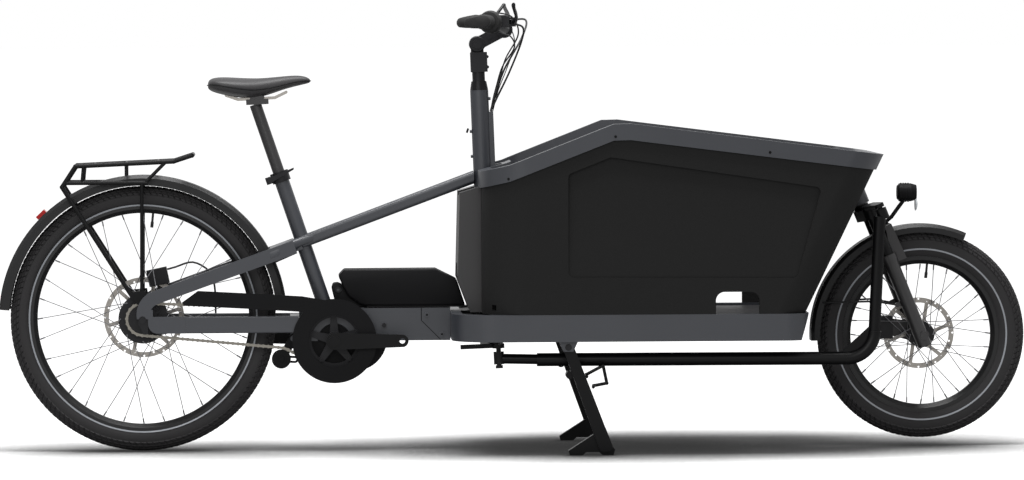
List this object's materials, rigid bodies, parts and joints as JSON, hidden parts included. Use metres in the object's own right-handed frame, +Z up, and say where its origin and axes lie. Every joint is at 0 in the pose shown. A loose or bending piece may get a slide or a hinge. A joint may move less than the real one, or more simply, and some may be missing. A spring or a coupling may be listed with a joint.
{
  "type": "front-loader cargo bicycle",
  "caption": "Electric cargo bicycle with a long low deck and an open box ahead of the rider, a linkage-steered small front wheel, and a two-legged stand.",
  "frame": {"origin": "middle of the bounding box on the ground, under the bicycle as it stands on its stand", "axes": "+X forward, +Y to the rider's left, +Z up"},
  "size_m": [2.5901, 0.704, 1.107],
  "materials": {
    "tyre": "matte",
    "rims": "satin",
    "spokes": "satin",
    "hubs": "satin",
    "steel": "brushed",
    "frame_paint": "satin",
    "box_panel": "fine grain",
    "floor": "matte",
    "drive_plastic": "matte",
    "fenders": "satin",
    "reflector": "gloss",
    "black_metal": "satin",
    "grey_metal": "satin",
    "saddle_cover": "matte",
    "grip_rubber": "matte",
    "hoses": "matte"
  },
  "bodies": {
    "frame": {"seat_stays": "frame_paint", "chain_stays": "frame_paint", "rear_axle": "steel", "bridge": "frame_paint", "motor": "drive_plastic", "seat_tube": "frame_paint", "top_tube": "frame_paint", "head_tube": "frame_paint", "deck_frame": "frame_paint", "box_floor": "floor", "box_side_r": "box_panel", "box_side_l": "box_panel", "box_front": "box_panel", "box_rear": "box_panel", "box_rim": "frame_paint", "rear_cover": "box_panel", "front_head": "frame_paint", "rear_fender": "fenders", "reflector": "reflector", "rack": "black_metal", "rear_caliper": "black_metal", "seat_collar": "grey_metal", "chain_guard": "drive_plastic", "chain": "steel", "cables": "hoses", "rear_hose": "hoses"},
    "rear_wheel": {"rear_tyre": "tyre", "rear_rim": "rims", "rear_spokes": "spokes", "rear_hub": "hubs", "rear_disc": "steel"},
    "front_wheel": {"front_tyre": "tyre", "front_rim": "rims", "front_spokes": "spokes", "front_hub": "hubs", "front_disc": "steel"},
    "battery": {"battery": "drive_plastic"},
    "seat_lever": {"seat_lever": "black_metal"},
    "post": {"seatpost": "grey_metal", "saddle": "saddle_cover", "rails": "steel"},
    "crankset": {"cranks": "black_metal", "chainring": "black_metal"},
    "sprocket": {"sprocket": "steel"},
    "tensioner": {"tensioner": "drive_plastic"},
    "tension_roller": {"tension_roller": "drive_plastic"},
    "fork": {"fork_crown": "black_metal"},
    "lowers": {"fork_lowers": "grey_metal", "front_fender": "fenders", "headlight": "drive_plastic", "front_caliper": "black_metal"},
    "column": {"column": "black_metal"},
    "steering_rod": {"steering_rod": "black_metal"},
    "mast": {"mast": "grey_metal"},
    "bar": {"handlebar": "black_metal", "grip_l": "grip_rubber"},
    "twist": {"grip_r": "grip_rubber"},
    "lever_r": {"lever_r": "black_metal"},
    "lever_l": {"lever_l": "black_metal"},
    "stand": {"stand": "black_metal"}
  },
  "joints": [
    {"name": "rear_wheel_spin", "type": "hinge", "parent": "frame", "child": "rear_wheel", "pos_m": [-0.93394, 0, 0.3345], "axis": [0, 1, 0], "continuous": true},
    {"name": "sprocket_spin", "type": "hinge", "parent": "frame", "child": "sprocket", "pos_m": [-0.93394, 0, 0.3345], "axis": [0, 1, 0], "continuous": true},
    {"name": "crank_spin", "type": "hinge", "parent": "frame", "child": "crankset", "pos_m": [-0.45294, 0, 0.279], "axis": [0, 1, 0], "continuous": true, "deforming": ["chain"]},
    {"name": "tension_swing", "type": "hinge", "parent": "frame", "child": "tensioner", "pos_m": [-0.55594, 0, 0.284], "axis": [0, 1, 0], "range_deg": [-5, 5], "stiffness_Nm_per_rad": 2},
    {"name": "roller_spin", "type": "hinge", "parent": "tensioner", "child": "tension_roller", "pos_m": [-0.58694, 0, 0.2325], "axis": [0, 1, 0], "continuous": true},
    {"name": "fork_steer", "type": "hinge", "parent": "frame", "child": "fork", "pos_m": [1.01537, 0, 0.27626], "axis": [-0.3746, 0, 0.9272], "range_deg": [-17, 20], "deforming": ["cables"]},
    {"name": "fork_slide", "type": "slide", "parent": "fork", "child": "lowers", "axis": [-0.3746, 0, 0.9272], "range_m": [0, 0.028], "stiffness_N_per_m": 12000, "springref_m": -0.004},
    {"name": "front_wheel_spin", "type": "hinge", "parent": "lowers", "child": "front_wheel", "pos_m": [1.03206, 0, 0.283], "axis": [0, 1, 0], "continuous": true},
    {"name": "column_steer", "type": "hinge", "parent": "frame", "child": "column", "pos_m": [-0.05994, 0, 0.24], "axis": [-0.0366, 0, 0.9993], "range_deg": [-18.1, 21.3], "deforming": ["cables"]},
    {"name": "rod_swing", "type": "hinge", "parent": "column", "child": "steering_rod", "pos_m": [-0.04394, -0.185, 0.24], "axis": [-0.042, 0.0619, 0.9972], "range_deg": [-21.2, 18]},
    {"name": "mast_slide", "type": "slide", "parent": "column", "child": "mast", "axis": [-0.0366, 0, 0.9993], "range_m": [0, 0.06], "deforming": ["cables"]},
    {"name": "stem_tilt", "type": "hinge", "parent": "mast", "child": "bar", "pos_m": [-0.08894, 0, 1.022], "axis": [0, 1, 0], "range_deg": [-20, 30]},
    {"name": "twist_grip", "type": "hinge", "parent": "bar", "child": "twist", "pos_m": [-0.08294, -0.345, 1.08], "axis": [0.1777, 0.9838, -0.0254], "range_deg": [-40, 40]},
    {"name": "brake_lever_r", "type": "hinge", "parent": "bar", "child": "lever_r", "pos_m": [-0.00694, -0.196, 1.076], "axis": [0, 0, -1], "range_deg": [0, 18], "stiffness_Nm_per_rad": 0.6, "springref_deg": -8.59},
    {"name": "brake_lever_l", "type": "hinge", "parent": "bar", "child": "lever_l", "pos_m": [-0.00694, 0.196, 1.076], "axis": [0, 0, 1], "range_deg": [0, 18], "stiffness_Nm_per_rad": 0.6, "springref_deg": -8.59},
    {"name": "saddle_height", "type": "slide", "parent": "frame", "child": "post", "axis": [-0.3206, 0, 0.9472], "range_m": [-0.05, 0.05]},
    {"name": "seat_lever_swing", "type": "hinge", "parent": "frame", "child": "seat_lever", "pos_m": [-0.61525, 0, 0.67996], "axis": [0, 1, 0], "range_deg": [-90, 0]},
    {"name": "battery_lift", "type": "slide", "parent": "frame", "child": "battery", "axis": [-0.3389, 0, 0.9408], "range_m": [0, 0.05]},
    {"name": "stand_fold", "type": "hinge", "parent": "frame", "child": "stand", "pos_m": [0.12606, 0, 0.27], "axis": [0, 1, 0], "range_deg": [0, 78]}
  ],
  "couplings": [
    {"joint": "sprocket_spin", "follows": "crank_spin", "ratio": 1.9},
    {"joint": "column_steer", "follows": "fork_steer", "ratio": 1.0605},
    {"joint": "rod_swing", "follows": "fork_steer", "ratio": -1.0541}
  ]
}
